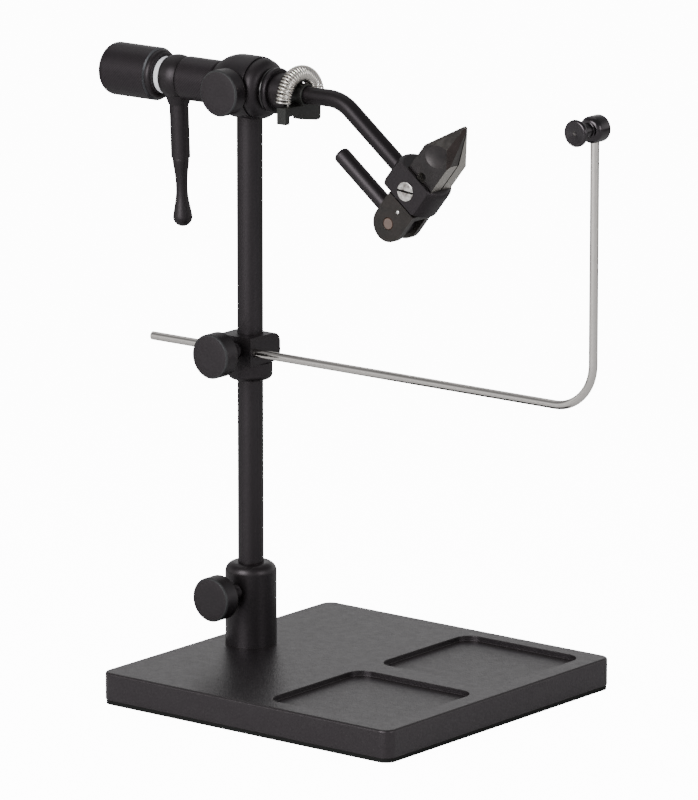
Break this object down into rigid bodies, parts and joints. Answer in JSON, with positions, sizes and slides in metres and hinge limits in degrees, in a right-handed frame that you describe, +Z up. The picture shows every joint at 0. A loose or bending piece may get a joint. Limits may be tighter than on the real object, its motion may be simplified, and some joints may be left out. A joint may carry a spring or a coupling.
{
  "type": "rotary fly tying vise",
  "caption": "Rotary vise on a square pedestal base with parts trays, a cam lever that closes slim hook jaws, a material clip spring, a crank and a thread cradle.",
  "frame": {"origin": "on the post's axis at the underside of the base, where it rests on the table", "axes": "+Z up; +X along the rotary axis from the crank towards the jaws and the cradle's upright rod; -Y towards the side with the thumb screws"},
  "size_m": [0.2314, 0.1334, 0.2324],
  "materials": {
    "powder_coat": "matte, finely textured powder coat",
    "rubber_pad": "matte",
    "black_oxide": "satin black coating",
    "knurled_black": "satin black coating over a fine knurl",
    "jaw_steel": "polished black coating",
    "bright_steel": "bright ground steel",
    "white_nylon": "smooth white nylon",
    "bracket_plastic": "moulded, matte",
    "spool_plastic": "gloss black",
    "bronze": "turned bronze",
    "pin_copper": "copper-coloured, satin"
  },
  "bodies": {
    "base": {"base_plate": "powder_coat", "base_pad": "rubber_pad", "socket_bolt": "bright_steel", "post_socket": "black_oxide"},
    "base_screw": {"base_screw_knob": "knurled_black", "base_screw_stud": "black_oxide"},
    "post": {"post": "black_oxide"},
    "stop": {"stop_collar": "black_oxide", "stop_collar_screw": "black_oxide"},
    "cradle_block": {"cradle_clamp": "black_oxide"},
    "cradle_screw": {"cradle_screw_knob": "knurled_black", "cradle_screw_stud": "black_oxide"},
    "cradle": {"cradle_rod": "bright_steel", "cradle_spool": "spool_plastic"},
    "head": {"head_housing": "black_oxide", "head_front_cap": "black_oxide", "front_bushing": "bronze", "rear_bushing": "bronze", "head_set_screw": "black_oxide", "tension_pad": "white_nylon"},
    "tension_screw": {"tension_knob": "knurled_black", "tension_stud": "black_oxide"},
    "rotor": {"rotary_shaft": "bright_steel", "knurled_sleeve": "knurled_black", "sleeve_set_screw": "black_oxide", "front_hub": "black_oxide", "hub_ring": "black_oxide", "clip_bracket": "bracket_plastic", "clip_spring": "bright_steel", "arm": "black_oxide", "jaw_collar": "black_oxide", "cam_yoke": "black_oxide", "yoke_dowels": "bright_steel", "cam_pin": "pin_copper"},
    "crank": {"crank_hub": "black_oxide", "crank_stem": "black_oxide", "crank_handle": "black_oxide", "nylon_washer": "white_nylon"},
    "rear_knob": {"rear_knob": "knurled_black"},
    "jaw_screw": {"jaw_screw": "bright_steel"},
    "near_jaw": {"jaw_near": "jaw_steel"},
    "far_jaw": {"jaw_far": "jaw_steel", "jaw_pin": "bright_steel"},
    "plunger": {"jaw_plunger": "bright_steel"},
    "lever": {"cam_head": "black_oxide", "cam_lever": "black_oxide"}
  },
  "joints": [
    {"name": "base_screw_turn", "type": "hinge", "parent": "base", "child": "base_screw", "pos_m": [0, -0.0239, 0.0328], "axis": [0, -1, 0], "range_deg": [0, 360]},
    {"name": "post_height", "type": "slide", "parent": "base", "child": "post", "axis": [0, 0, 1], "range_m": [0, 0.015]},
    {"name": "cradle_height", "type": "slide", "parent": "post", "child": "stop", "axis": [0, 0, 1], "range_m": [-0.05, 0.03]},
    {"name": "cradle_swing", "type": "hinge", "parent": "stop", "child": "cradle_block", "pos_m": [0, 0, 0.1241], "axis": [0, 0, 1], "continuous": true},
    {"name": "cradle_screw_turn", "type": "hinge", "parent": "cradle_block", "child": "cradle_screw", "pos_m": [0, -0.0235, 0.1241], "axis": [0, -1, 0], "range_deg": [0, 360]},
    {"name": "cradle_reach", "type": "slide", "parent": "cradle_block", "child": "cradle", "axis": [1, 0, 0], "range_m": [-0.045, 0.03]},
    {"name": "head_swivel", "type": "hinge", "parent": "post", "child": "head", "pos_m": [0, 0, 0.2207], "axis": [0, 0, 1], "continuous": true},
    {"name": "tension_screw_turn", "type": "hinge", "parent": "head", "child": "tension_screw", "pos_m": [0, -0.0182, 0.2207], "axis": [0, -1, 0], "range_deg": [0, 360]},
    {"name": "rotary_turn", "type": "hinge", "parent": "head", "child": "rotor", "pos_m": [0, 0, 0.2207], "axis": [1, 0, 0], "continuous": true},
    {"name": "crank_turn", "type": "hinge", "parent": "rotor", "child": "crank", "pos_m": [-0.03385, 0, 0.2207], "axis": [1, 0, 0], "continuous": true},
    {"name": "rear_knob_turn", "type": "hinge", "parent": "rotor", "child": "rear_knob", "pos_m": [-0.05, 0, 0.2207], "axis": [1, 0, 0], "range_deg": [0, 360]},
    {"name": "jaw_screw_turn", "type": "hinge", "parent": "rotor", "child": "jaw_screw", "pos_m": [0.07765, 0, 0.19238], "axis": [0, -1, 0], "range_deg": [0, 360]},
    {"name": "lever_turn", "type": "hinge", "parent": "rotor", "child": "lever", "pos_m": [0.06867, 0, 0.17935], "axis": [0, -1, 0], "range_deg": [0, 90]},
    {"name": "plunger_slide", "type": "slide", "parent": "rotor", "child": "plunger", "axis": [0.6184, 0, 0.7859], "range_m": [-0.0008, 0]},
    {"name": "near_jaw_open", "type": "hinge", "parent": "rotor", "child": "near_jaw", "pos_m": [0.08225, 0, 0.1992], "axis": [0.7859, 0, -0.6184], "range_deg": [0, 3.5]},
    {"name": "far_jaw_open", "type": "hinge", "parent": "rotor", "child": "far_jaw", "pos_m": [0.08225, 0, 0.1992], "axis": [0.7859, 0, -0.6184], "range_deg": [-3.5, 0]}
  ],
  "couplings": [
    {"joint": "plunger_slide", "follows": "lever_turn", "m_per_rad": -0.000509},
    {"joint": "near_jaw_open", "follows": "lever_turn", "ratio": 0.0389},
    {"joint": "far_jaw_open", "follows": "lever_turn", "ratio": -0.0389}
  ]
}
